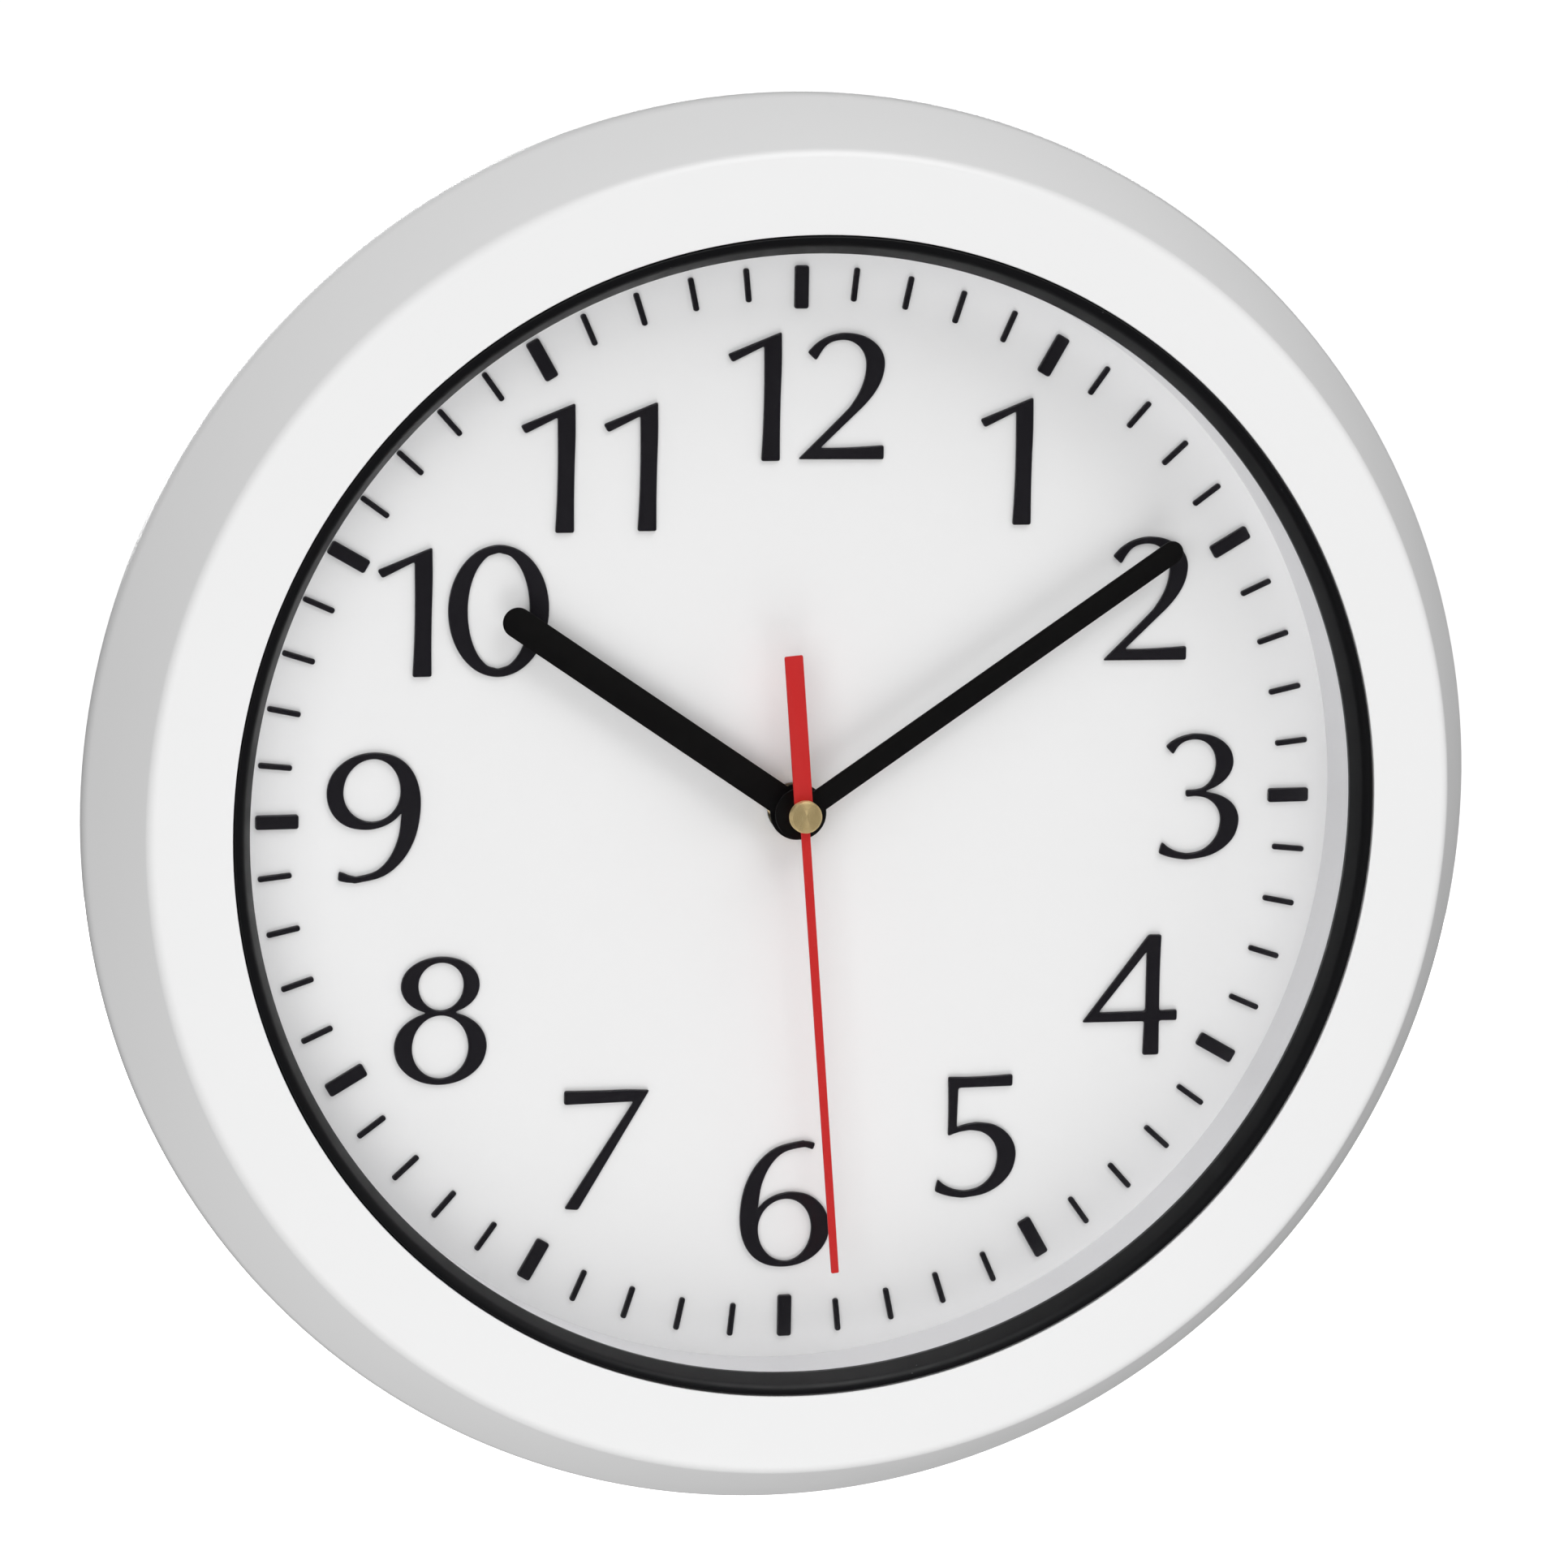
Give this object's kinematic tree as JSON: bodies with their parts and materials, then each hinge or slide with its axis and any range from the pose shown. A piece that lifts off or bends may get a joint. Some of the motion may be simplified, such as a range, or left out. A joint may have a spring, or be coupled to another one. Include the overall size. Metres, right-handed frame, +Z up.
{
  "type": "wall clock",
  "caption": "Round white wall clock with raised black numerals, black trim ring, three hands, clear lens and a quartz movement behind the dial.",
  "frame": {"origin": "centre of the wall screw's shank in the keyhole, in the plane of the wall", "axes": "+Z up, +X to the right as seen from the front, -Y out of the clock's face and +Y into the wall"},
  "size_m": [0.3, 0.0427, 0.3],
  "materials": {
    "white_case": "moulded white ABS, semi-gloss",
    "black_trim": "satin black moulded plastic",
    "clear_lens": "clear polished",
    "grey_wall": "light grey moulded plastic, satin",
    "white_dial": "matt white",
    "black_numerals": "black, semi-gloss, rounded edges",
    "black_hands": "matt black lacquer on aluminium",
    "red_hand": "satin red lacquer on aluminium",
    "brass": "fine turned",
    "steel": "plain bright steel",
    "black_rubber": "moulded rubber",
    "black_housing": "moulded black ABS, fine texture",
    "gear_plastic": "natural acetal",
    "magnet": "plastic-bonded ferrite",
    "white_knob": "moulded white plastic",
    "copper": "enamelled copper wire",
    "board": "green solder mask",
    "cell_label": "printed sleeve"
  },
  "bodies": {
    "case": {"case_shell": "white_case", "trim_ring": "black_trim", "lens": "clear_lens", "inner_wall": "grey_wall", "dial_plate": "white_dial", "numeral_12_tens": "black_numerals", "numeral_12_units": "black_numerals", "numeral_1": "black_numerals", "numeral_2": "black_numerals", "numeral_3": "black_numerals", "numeral_4": "black_numerals", "numeral_5": "black_numerals", "numeral_6": "black_numerals", "numeral_7": "black_numerals", "numeral_8": "black_numerals", "numeral_9": "black_numerals", "numeral_10_tens": "black_numerals", "numeral_10_units": "black_numerals", "numeral_11_tens": "black_numerals", "numeral_11_units": "black_numerals", "movement_bush": "brass", "hex_nut": "brass", "flat_washer": "steel", "rubber_washer": "black_rubber", "movement_housing": "black_housing", "movement_cover": "black_housing", "stator": "steel", "coil": "copper", "circuit_board": "board", "quartz_crystal": "steel", "positive_contact": "steel", "negative_contact": "steel", "support_ring": "grey_wall", "rear_cover": "white_case", "hanger_plate": "steel", "cover_screw_1": "steel", "cover_screw_2": "steel", "cover_screw_3": "steel", "cover_screw_4": "steel", "hanger_screw_1": "steel", "hanger_screw_2": "steel"},
    "seconds": {"second_wheel": "gear_plastic", "second_hand": "red_hand", "hand_cap": "brass"},
    "minutes": {"minute_pipe": "gear_plastic", "minute_hand": "black_hands"},
    "hours": {"hour_wheel": "gear_plastic", "hour_hand": "black_hands"},
    "motion": {"motion_wheel": "gear_plastic"},
    "centre": {"centre_wheel": "gear_plastic"},
    "third": {"third_wheel": "gear_plastic"},
    "intermediate": {"intermediate_wheel": "gear_plastic"},
    "rotor": {"rotor": "magnet"},
    "knob": {"setting_knob": "white_knob"},
    "battery": {"battery_cell": "cell_label"}
  },
  "joints": [
    {"name": "second_hand_turn", "type": "hinge", "parent": "case", "child": "seconds", "pos_m": [0, -0.00001, -0.0725], "axis": [0, 1, 0], "continuous": true},
    {"name": "minute_hand_turn", "type": "hinge", "parent": "case", "child": "minutes", "pos_m": [0, -0.00001, -0.0725], "axis": [0, 1, 0], "continuous": true},
    {"name": "hour_hand_turn", "type": "hinge", "parent": "case", "child": "hours", "pos_m": [0, -0.00001, -0.0725], "axis": [0, 1, 0], "continuous": true},
    {"name": "motion_wheel_turn", "type": "hinge", "parent": "case", "child": "motion", "pos_m": [0.00752, -0.00001, -0.07524], "axis": [0, 1, 0], "continuous": true},
    {"name": "setting_knob_turn", "type": "hinge", "parent": "case", "child": "knob", "pos_m": [0.01503, -0.00001, -0.0725], "axis": [0, 1, 0], "continuous": true},
    {"name": "centre_wheel_turn", "type": "hinge", "parent": "case", "child": "centre", "pos_m": [0, -0.00001, -0.0725], "axis": [0, 1, 0], "continuous": true},
    {"name": "third_wheel_turn", "type": "hinge", "parent": "case", "child": "third", "pos_m": [0.0046, -0.00001, -0.06453], "axis": [0, 1, 0], "continuous": true},
    {"name": "intermediate_wheel_turn", "type": "hinge", "parent": "case", "child": "intermediate", "pos_m": [-0.00831, -0.00001, -0.0677], "axis": [0, 1, 0], "continuous": true},
    {"name": "rotor_turn", "type": "hinge", "parent": "case", "child": "rotor", "pos_m": [-0.01119, -0.00001, -0.05981], "axis": [0, 1, 0], "continuous": true},
    {"name": "battery_slide", "type": "slide", "parent": "case", "child": "battery", "axis": [0, 1, 0], "range_m": [0, 0.02]}
  ],
  "couplings": [
    {"joint": "hour_hand_turn", "follows": "minute_hand_turn", "ratio": 0.083333},
    {"joint": "motion_wheel_turn", "follows": "minute_hand_turn", "ratio": -0.33333},
    {"joint": "setting_knob_turn", "follows": "minute_hand_turn", "ratio": 1},
    {"joint": "intermediate_wheel_turn", "follows": "second_hand_turn", "ratio": -5},
    {"joint": "rotor_turn", "follows": "second_hand_turn", "ratio": 30},
    {"joint": "third_wheel_turn", "follows": "second_hand_turn", "ratio": -0.13333},
    {"joint": "centre_wheel_turn", "follows": "second_hand_turn", "ratio": 0.016667}
  ]
}
